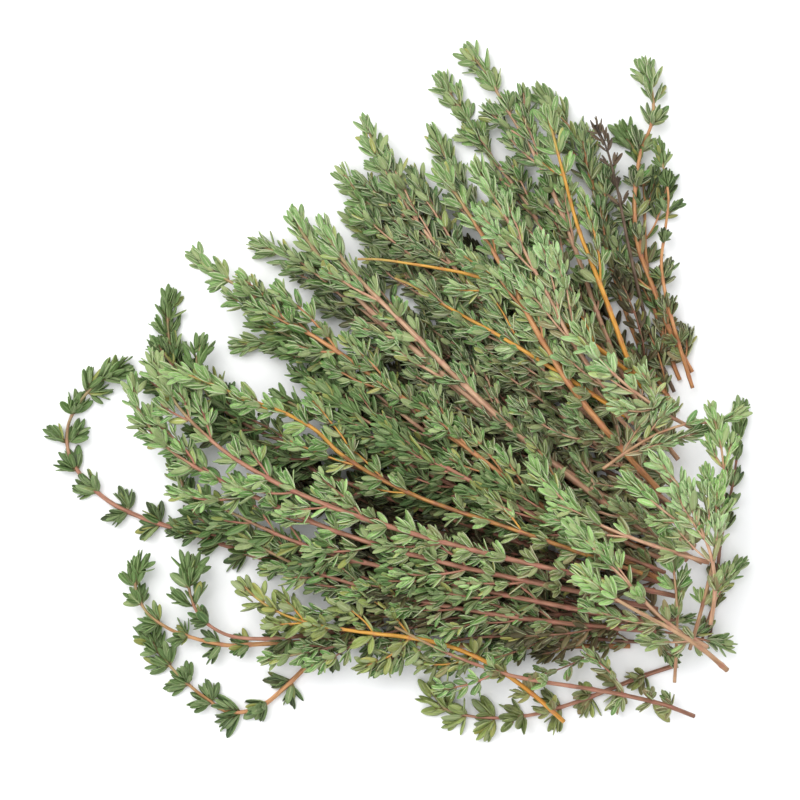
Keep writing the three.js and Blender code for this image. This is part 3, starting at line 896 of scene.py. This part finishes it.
def wire_leaf(nodes, given, out):
    """Colour, roughness and relief of a blade, from its blade attribute and from its tone, age and chance,
    whose tone holds painted light and shade by height in the heap.
    """
    along, across, upper = nodes.attribute("blade")
    tone, age, chance = nodes.attribute("life_and_shade")
    side = nodes.math("ABSOLUTE", across)
    mottle = nodes.add("ShaderNodeGroup", node_tree=mottle_group())
    mottle.inputs["Patch Scale"].default_value = 900.0
    mottle.inputs["Grain Scale"].default_value = 3800.0
    patches, grain = mottle.outputs
    rib, edge, veins = leaf_markings(nodes, along, side)
    tone = nodes.plus(nodes.times(tone, 0.8), nodes.times(patches, 0.3))
    face, faded = leaf_face(nodes, given, tone, age, chance)
    dots = nodes.add("ShaderNodeTexVoronoi", feature="F1")
    nodes.wire(nodes.add("ShaderNodeTexCoord").outputs["Object"], dots.inputs["Vector"])
    dots.inputs["Scale"].default_value = 3000.0
    gland = nodes.ramp(dots.outputs["Distance"], 0.3, 0.12)
    # The Pale coats on the rib, the rolled edges and the veins are partly their own paler colour and partly
    # painted sheen.
    above = nodes.layers(
        face,
        (nodes.times(rib, 0.55), given["Pale"]),
        (edge, given["Pale"]),
        (nodes.times(veins, 0.1), given["Pale"]))
    below = nodes.layers(
        given["Under"],
        (nodes.times(patches, 0.35), face),
        (nodes.times(faded, 0.8), given["Faded"]),
        (nodes.times(rib, 0.7), given["Rib Under"]))
    flush = nodes.times(nodes.ramp(along, 0.2, 0.0), nodes.ramp(chance, 0.2, 0.9, 0.1, 0.75))
    colour = nodes.layers(
        below,
        (nodes.ramp(upper, 0.35, 0.6), above),
        (flush, given["Flush"]),
        (nodes.times(gland, 0.22), given["Gland"]))
    nodes.wire(colour, out["Color"])
    rough = nodes.plus(nodes.ramp(patches, 0.0, 1.0, 0.44, 0.62), nodes.ramp(upper, 0.6, 0.4, 0.0, 0.14))
    nodes.wire(rough, out["Roughness"])
    relief = nodes.plus(nodes.times(grain, 0.5), nodes.times(nodes.plus(veins, rib), -0.5))
    nodes.wire(nodes.plus(relief, nodes.times(gland, -0.6)), out["Height"])


def leaf_group():
    """The finish of a leaf's blade."""
    inputs = colour_inputs("Deep", "Middle", "Light", "Fresh", "Yellow", "Faded", "Pale", "Under",
                           "Rib Under", "Flush", "Gland")
    return node_group("Leaf Blade", inputs, FINISH_OUTPUTS, wire_leaf)


def wire_stem(nodes, given, out):
    """Colour and relief of a stem: young at its tip, woody at its base, with streaks and darker knots."""
    age, knob, pith = nodes.attribute("growth")
    grain = nodes.add("ShaderNodeAttribute", attribute_name="grain").outputs["Vector"]
    stretch = nodes.add("ShaderNodeVectorMath", operation="MULTIPLY")
    nodes.wire(grain, stretch.inputs[0])
    stretch.inputs[1].default_value = (1.0, 1.0, 0.09)
    streaks = nodes.noise(stretch.outputs[0], 2600.0, 4.0)
    patches = nodes.noise(grain, 170.0)
    mottle = nodes.add("ShaderNodeGroup", node_tree=mottle_group())
    ageing = nodes.ramp(age, 0.28, given["Woody From"], 0.0, 0.8)
    wood = nodes.math("ADD", ageing, nodes.ramp(patches, 0.42, 0.66, -0.15, 0.35), clamp=True)
    colour = nodes.layers(
        given["Tip"],
        (nodes.ramp(age, 0.02, 0.22), given["Young"]),
        (wood, given["Old"]),
        (nodes.ramp(streaks, 0.5, 0.68, 0.0, 0.55), given["Dark"]),
        (nodes.ramp(streaks, 0.46, 0.3, 0.0, 0.4), given["Light"]),
        (nodes.times(knob, 0.5), given["Node"]),
        (nodes.ramp(mottle.outputs["Value"], 0.6, 1.0, 0.0, 0.16), given["Dark"]),
        (nodes.ramp(pith, 0.15, 0.6), given["Pith"]))
    nodes.wire(colour, out["Color"])
    nodes.wire(nodes.ramp(streaks, 0.3, 0.7, 0.46, 0.68), out["Roughness"])
    nodes.wire(nodes.plus(streaks, nodes.times(mottle.outputs["Grain"], 0.4)), out["Height"])


def stem_group():
    """The finish of a stem's bark."""
    inputs = colour_inputs("Tip", "Young", "Old", "Dark", "Light", "Node", "Pith")
    inputs.append(("Woody From", "NodeSocketFloat", 1.0))
    return node_group("Stem Bark", inputs, FINISH_OUTPUTS, wire_stem)


def finish_material(name, group, values, relief, subsurface, specular):
    """A material whose colour, roughness and relief come from one node group with its own values."""
    material = bpy.data.materials.get(name)
    if material:
        return material
    material = bpy.data.materials.new(name)
    material.use_nodes = True
    nodes = Nodes(material.node_tree)
    shader = material.node_tree.nodes["Principled BSDF"]
    source = nodes.add("ShaderNodeGroup", node_tree=group)
    for title, value in values.items():
        source.inputs[title].default_value = value if isinstance(value, float) else (*value[:3], 1.0)
    bump = nodes.add("ShaderNodeBump")
    bump.inputs["Strength"].default_value = 1.0
    bump.inputs["Distance"].default_value = relief
    nodes.wire(source.outputs["Height"], bump.inputs["Height"])
    nodes.wire(source.outputs["Color"], shader.inputs["Base Color"])
    nodes.wire(source.outputs["Roughness"], shader.inputs["Roughness"])
    nodes.wire(bump.outputs["Normal"], shader.inputs["Normal"])
    shader.inputs["Subsurface Weight"].default_value = subsurface
    shader.inputs["Subsurface Radius"].default_value = (0.5, 1.0, 0.25)
    shader.inputs["Subsurface Scale"].default_value = 0.5 * MM
    shader.inputs["Specular IOR Level"].default_value = specular
    return material


# Colours in which a kind of leaf differs from the green one, as 8-bit screen values.
LEAF_LOOKS = {
    "green": {},
    # The deep look is a darker copy of the green leaves for sprigs that lie low in the heap and between
    # lighter ones: partly their own darker tone, partly painted shade.
    "deep": {"Deep": (38, 49, 22), "Middle": (64, 98, 44), "Light": (114, 148, 82),
             "Under": (126, 146, 96), "Pale": (149, 169, 113), "Fresh": (111, 140, 76)},
    # The old look, for the hidden sprigs under the others, is partly older, browner leaves and partly
    # painted shade, made much darker to put dark into the heap's gaps.
    "old": {"Deep": (33, 28, 15), "Middle": (59, 54, 28), "Light": (90, 89, 48),
            "Under": (66, 66, 44), "Pale": (92, 92, 58), "Fresh": (84, 96, 54)},
    "sage": {"Deep": (52, 77, 38), "Middle": (98, 142, 76), "Light": (166, 200, 136)},
    "spring": {"Deep": (76, 89, 40), "Middle": (138, 153, 78), "Light": (180, 189, 116),
               "Under": (146, 158, 113), "Pale": (169, 178, 126), "Fresh": (146, 160, 91)},
    "dry": {"Deep": (49, 40, 33), "Middle": (89, 75, 60), "Light": (127, 111, 91),
            "Under": (76, 64, 51), "Pale": (111, 93, 73), "Fresh": (111, 93, 73),
            "Yellow": (109, 87, 60), "Rib Under": (111, 93, 73), "Flush": (55, 40, 33),
            "Gland": (27, 22, 18)},
}

# Young and old bark of each kind of stem, as 8-bit screen values or the name of a setting.
STEM_LOOKS = {
    "russet": ("russet", (131, 89, 69)),
    "pink": ((194, 156, 126), (164, 123, 94)),
    "orange": ((191, 140, 93), (167, 111, 66)),
    "golden": ("golden", (187, 126, 44)),
    "golden_brown": ("golden", (136, 91, 60)),
    "tan": ((180, 146, 111), (149, 111, 80)),
    "brown": ((126, 89, 69), (95, 66, 49)),
    "dry": ((102, 82, 66), (87, 66, 49)),
}
# Where stems differ from the others: the colours of their tips and knots, and the share of their
# length at which they are wood.
STEM_TIPS = {"golden": (178, 162, 87), "golden_brown": (178, 162, 87), "dry": (64, 55, 46)}
STEM_KNOTS = {"dry": (44, 33, 27)}
WOODY_FROM = {"golden_brown": 0.45}


def leaf_material(look):
    """The finish of one kind of leaf."""
    given = bpy.context.scene.thyme_leaf
    values = {
        "Deep": given.deep, "Middle": given.middle, "Light": given.light, "Yellow": given.yellow,
        "Pale": given.pale_and_sheen, "Under": given.under, "Rib Under": paint(173, 182, 136),
        "Fresh": paint(135, 167, 98), "Faded": paint(132, 108, 76), "Flush": paint(136, 87, 73),
        "Gland": paint(47, 55, 31),
    }
    values.update({title: paint(*tone) for title, tone in LEAF_LOOKS[look].items()})
    return finish_material(f"Thyme leaf {look}", leaf_group(), values, relief=0.05 * MM,
                           subsurface=0.12, specular=0.42)


def stem_material(look):
    """The finish of one kind of stem."""
    given = bpy.context.scene.thyme_stem
    young, old = STEM_LOOKS[look]
    young = getattr(given, young) if isinstance(young, str) else paint(*young)
    old = paint(*old)
    values = {
        "Tip": paint(*STEM_TIPS.get(look, (149, 144, 98))), "Young": young, "Old": old,
        "Dark": tuple(0.38 * c for c in old), "Light": tuple(min(1.4 * c + 0.03, 1.0) for c in young),
        "Node": paint(*STEM_KNOTS.get(look, (157, 93, 82))), "Pith": paint(202, 182, 142),
        "Woody From": WOODY_FROM.get(look, 1.0),
    }
    return finish_material(f"Thyme stem {look}", stem_group(), values, relief=0.06 * MM,
                           subsurface=0.05, specular=0.4)


def floor_material():
    """Plain white board with a barely visible tooth."""
    material = bpy.data.materials.new("White board")
    material.use_nodes = True
    nodes = Nodes(material.node_tree)
    shader = material.node_tree.nodes["Principled BSDF"]
    place = nodes.add("ShaderNodeTexCoord").outputs["Object"]
    tooth = nodes.ramp(nodes.noise(place, 60.0, 4.0), 0.35, 0.7)
    colour = nodes.layers((0.91, 0.91, 0.915, 1.0), (tooth, (0.93, 0.93, 0.93, 1.0)))
    nodes.wire(colour, shader.inputs["Base Color"])
    shader.inputs["Roughness"].default_value = 0.85
    shader.inputs["Specular IOR Level"].default_value = 0.2
    return material


# ---- Pieces -----------------------------------------------------------------------------------

def grow_sprig(node, habit):
    """Grows one sprig on its frame node: a stem piece, and a piece of leaves where it has any."""
    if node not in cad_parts:
        raise RuntimeError(f"the frame has no node named {node}")
    settings = bpy.context.scene.thyme_stem
    rng = np.random.default_rng(zlib.crc32(node.encode()) + settings.seed)
    centres, widths = ring_centres(node)
    route = Route(centres).trimmed(TIP_REACH)
    steps = np.concatenate(([0.0], np.cumsum(np.linalg.norm(np.diff(centres, axis=0), axis=1))))
    full = widths > LEAFY_SHARE * widths.max()
    leafy = steps[full].max() - TIP_REACH if widths.max() > BARE_HALF_WIDTH else 0.0
    plant = Plant(habit, rng)
    plant.clothe(route, leafy, True, 0.0)
    stem = grow_stems(f"{node}_stalk", plant, settings.taper)
    stem.data.materials.append(stem_material(habit.stem))
    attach(stem, "root")
    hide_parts(node)
    if plant.blades:
        leaves = grow_blades(f"{node}_leaves", plant.blades, bpy.context.scene.thyme_leaf.thickness)
        leaves.data.materials.append(leaf_material(habit.leaf))
        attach(leaves, "root")


def grow_loose_leaf():
    """Replaces the frame's fallen leaf by a full blade in the same place."""
    low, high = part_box("leaf_loose")
    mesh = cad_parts["leaf_loose"].data
    points = np.array([vertex.co for vertex in mesh.vertices])
    centre = points.mean(0)
    spread = points[:, :2] - centre[:2]
    axis = np.append(np.linalg.svd(spread, full_matrices=False)[2][0], 0.0)
    reach = (points - centre).dot(axis)
    length = reach.max() - reach.min()
    base = centre + axis * reach.min()
    base[2] = 0.5 * (high[2] - low[2])
    blade = Blade(base, axis, UP, length, width=0.38 * length, bend=0.3, twist=0.15, fold=0.2,
                  tone=0.7, age=0.4, chance=0.5)
    leaf = grow_blades("leaf_loose_blade", [blade], bpy.context.scene.thyme_leaf.thickness)
    leaf.data.materials.append(leaf_material("spring"))
    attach(leaf, "root")
    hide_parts("leaf_loose")


def hang_lamp(name, place, size, power):
    """A square lamp that faces the bunch."""
    light = bpy.data.lights.new(name, "AREA")
    light.size = size
    light.energy = power
    lamp = bpy.data.objects.new(name, light)
    lamp.location = place
    lamp.rotation_euler = (-Vector(place)).to_track_quat("-Z", "Y").to_euler()
    bpy.context.scene.collection.objects.link(lamp)


def lay_stage(settings):
    """Lays the floor and hangs the lights and the camera over the bunch."""
    scene = bpy.context.scene
    middle = (np.array(CAD_BOX[0]) + np.array(CAD_BOX[1])) / 2
    bpy.ops.mesh.primitive_plane_add(size=settings.floor_size, location=(middle[0], middle[1], 0))
    floor = bpy.context.object
    floor.name = "floor"
    floor.data.materials.append(floor_material())
    scene.world = bpy.data.worlds.new("Light tent")
    scene.world.use_nodes = True
    background = scene.world.node_tree.nodes["Background"]
    background.inputs["Color"].default_value = (0.97, 0.98, 1.0, 1.0)
    background.inputs["Strength"].default_value = settings.tent
    hang_lamp("Window", place=(-0.45, 0.45, 0.95), size=1.0, power=settings.window)
    hang_lamp("Fill", place=(0.7, -0.4, 0.9), size=0.9, power=settings.fill)
    lens = bpy.data.cameras.new("Overhead")
    lens.sensor_width = 36.0
    lens.lens = lens.sensor_width * (settings.height - settings.level) / settings.view_width
    lens.clip_start = 0.01
    lens.clip_end = 20.0
    camera = bpy.data.objects.new("Overhead", lens)
    camera.location = (middle[0] + settings.shift_x, middle[1] + settings.shift_y, settings.height)
    scene.collection.objects.link(camera)
    scene.camera = camera
    scene.view_settings.view_transform = "Standard"
    scene.view_settings.look = "None"


# ---- Add-on -----------------------------------------------------------------------------------

class ThymeLeafSettings(bpy.types.PropertyGroup):
    """Sizes and colours of the leaves."""
    thickness: FloatProperty(name="Leaf thickness", description="Thickness of a leaf's blade",
                             default=0.2 * MM, min=0.05 * MM, max=1 * MM, unit="LENGTH", precision=5)
    deep: FloatVectorProperty(name="Deep green", description="Colour of the darkest leaves",
                              default=paint(41, 57, 23), subtype="COLOR", min=0, max=1)
    middle: FloatVectorProperty(name="Middle green", description="Colour of most leaves",
                                default=paint(82, 129, 53), subtype="COLOR", min=0, max=1)
    light: FloatVectorProperty(name="Light green", description="Colour of the lightest leaves",
                               default=paint(156, 197, 115), subtype="COLOR", min=0, max=1)
    # The rib and edge colour is partly the paler colour of the midrib and the rolled edges, partly painted
    # sheen: it is whitened to stand for the sheen of the hairy leaves.
    pale_and_sheen: FloatVectorProperty(name="Rib and edge", description="Colour of the midrib and the rolled edges",
                              default=paint(210, 214, 176), subtype="COLOR", min=0, max=1)
    under: FloatVectorProperty(name="Underside", description="Colour of the leaves' undersides",
                               default=paint(151, 165, 112), subtype="COLOR", min=0, max=1)
    yellow: FloatVectorProperty(name="Turned leaf", description="Colour of the few leaves that have turned",
                                default=paint(169, 164, 82), subtype="COLOR", min=0, max=1)


class ThymeStemSettings(bpy.types.PropertyGroup):
    """Sizes and colours of the stems."""
    seed: IntProperty(name="Seed", description="Changes how the leaves and the shoots fall",
                      default=7, min=0)
    taper: FloatProperty(name="Taper", description="Length over which a stem thickens from its tip",
                         default=45 * MM, min=1 * MM, unit="LENGTH")
    russet: FloatVectorProperty(name="Russet stem", description="Colour of the reddish stems",
                                default=paint(167, 118, 95), subtype="COLOR", min=0, max=1)
    golden: FloatVectorProperty(name="Golden stem", description="Colour of the yellow stems",
                                default=paint(206, 153, 66), subtype="COLOR", min=0, max=1)


class ThymeStageSettings(bpy.types.PropertyGroup):
    """Floor, light and camera."""
    floor_size: FloatProperty(name="Floor", description="Side of the square floor",
                              default=6.0, unit="LENGTH")
    tent: FloatProperty(name="Tent light", description="Brightness of the light from all round",
                        default=1.06, min=0)
    window: FloatProperty(name="Window light", description="Power of the light from the upper left",
                          default=11.0, min=0, unit="POWER")
    fill: FloatProperty(name="Fill light", description="Power of the light from the lower right",
                        default=0.8, min=0, unit="POWER")
    height: FloatProperty(name="Camera height", description="Height of the camera above the floor",
                          default=0.9, min=0.2, unit="LENGTH")
    level: FloatProperty(name="View level", description="Height in the heap at which the view width holds",
                         default=8 * MM, min=0, unit="LENGTH")
    view_width: FloatProperty(name="View width", description="Width of what the camera sees at that level",
                              default=0.2, min=0.05, unit="LENGTH")
    shift_x: FloatProperty(name="Camera right", description="Camera's distance right of the bunch's middle",
                           default=-1.0 * MM, unit="LENGTH", subtype="DISTANCE")
    shift_y: FloatProperty(name="Camera up", description="Camera's distance above the bunch's middle",
                           default=-3.45 * MM, unit="LENGTH", subtype="DISTANCE")


class GrowGroup:
    """Shared by the operators that grow a group of like sprigs."""
    bl_options = {"REGISTER", "UNDO"}
    sprigs = {}

    def execute(self, context):
        """Grows every sprig of the group."""
        for node, habit in self.sprigs.items():
            grow_sprig(node, habit)
        return {"FINISHED"}


class THYME_OT_first_laid(GrowGroup, bpy.types.Operator):
    """Grow the sprigs that lie lowest, round the rim of the heap"""
    bl_idname = "thyme.first_laid"
    bl_label = "Grow Rim Sprigs"
    sprigs = FIRST_LAID


class THYME_OT_underneath(GrowGroup, bpy.types.Operator):
    """Grow the sprigs that lie under the others"""
    bl_idname = "thyme.underneath"
    bl_label = "Grow Hidden Sprigs"
    sprigs = UNDERNEATH


class THYME_OT_fan(GrowGroup, bpy.types.Operator):
    """Grow the sprigs that fan out from the cut ends"""
    bl_idname = "thyme.fan"
    bl_label = "Grow Fan Sprigs"
    sprigs = FAN


class THYME_OT_dry_twig(GrowGroup, bpy.types.Operator):
    """Grow the one dry twig"""
    bl_idname = "thyme.dry_twig"
    bl_label = "Grow Dry Twig"
    sprigs = DRY


class THYME_OT_last_laid(GrowGroup, bpy.types.Operator):
    """Grow the sprigs that lie on top"""
    bl_idname = "thyme.last_laid"
    bl_label = "Grow Top Sprigs"
    sprigs = LAST_LAID


class THYME_OT_bare_stems(GrowGroup, bpy.types.Operator):
    """Grow the nearly bare stems that cross the heap"""
    bl_idname = "thyme.bare_stems"
    bl_label = "Grow Bare Stems"
    sprigs = BARE


class THYME_OT_loose_leaf(bpy.types.Operator):
    """Make the one leaf that has come off"""
    bl_idname = "thyme.loose_leaf"
    bl_label = "Make Loose Leaf"
    bl_options = {"REGISTER", "UNDO"}

    def execute(self, context):
        """Makes the leaf where the frame has it."""
        grow_loose_leaf()
        return {"FINISHED"}


class THYME_OT_stage(bpy.types.Operator):
    """Lay the floor and set up the lights and the camera"""
    bl_idname = "thyme.stage"
    bl_label = "Lay Stage"
    bl_options = {"REGISTER", "UNDO"}

    def execute(self, context):
        """Builds the stage from its settings."""
        lay_stage(context.scene.thyme_stage)
        return {"FINISHED"}


OPERATORS = (THYME_OT_first_laid, THYME_OT_underneath, THYME_OT_fan, THYME_OT_dry_twig,
             THYME_OT_last_laid, THYME_OT_bare_stems, THYME_OT_loose_leaf, THYME_OT_stage)


class THYME_PT_bunch(bpy.types.Panel):
    """Lists the steps and the settings of the bunch."""
    bl_idname = "THYME_PT_bunch"
    bl_label = "Thyme Bunch"
    bl_space_type = "VIEW_3D"
    bl_region_type = "UI"
    bl_category = "Thyme"

    def draw(self, context):
        """Draws the buttons and the settings."""
        for operator in OPERATORS:
            self.layout.operator(operator.bl_idname)
        for settings in (context.scene.thyme_leaf, context.scene.thyme_stem, context.scene.thyme_stage):
            box = self.layout.box()
            for key in settings.__annotations__:
                box.prop(settings, key)


SETTINGS = {
    "thyme_leaf": ThymeLeafSettings,
    "thyme_stem": ThymeStemSettings,
    "thyme_stage": ThymeStageSettings,
}
CLASSES = (*SETTINGS.values(), *OPERATORS, THYME_PT_bunch)


def register():
    """Registers the classes and the scene's settings."""
    for item in CLASSES:
        bpy.utils.register_class(item)
    for key, item in SETTINGS.items():
        setattr(bpy.types.Scene, key, PointerProperty(type=item))


def unregister():
    """Takes the settings and the classes away again."""
    for key in SETTINGS:
        delattr(bpy.types.Scene, key)
    for item in reversed(CLASSES):
        bpy.utils.unregister_class(item)


def main():
    """Builds the whole bunch on its stage."""
    register()
    bpy.ops.thyme.stage()
    bpy.ops.thyme.first_laid()
    bpy.ops.thyme.underneath()
    bpy.ops.thyme.fan()
    bpy.ops.thyme.dry_twig()
    bpy.ops.thyme.last_laid()
    bpy.ops.thyme.bare_stems()
    bpy.ops.thyme.loose_leaf()
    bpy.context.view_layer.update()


if __name__ == "__main__":
    main()
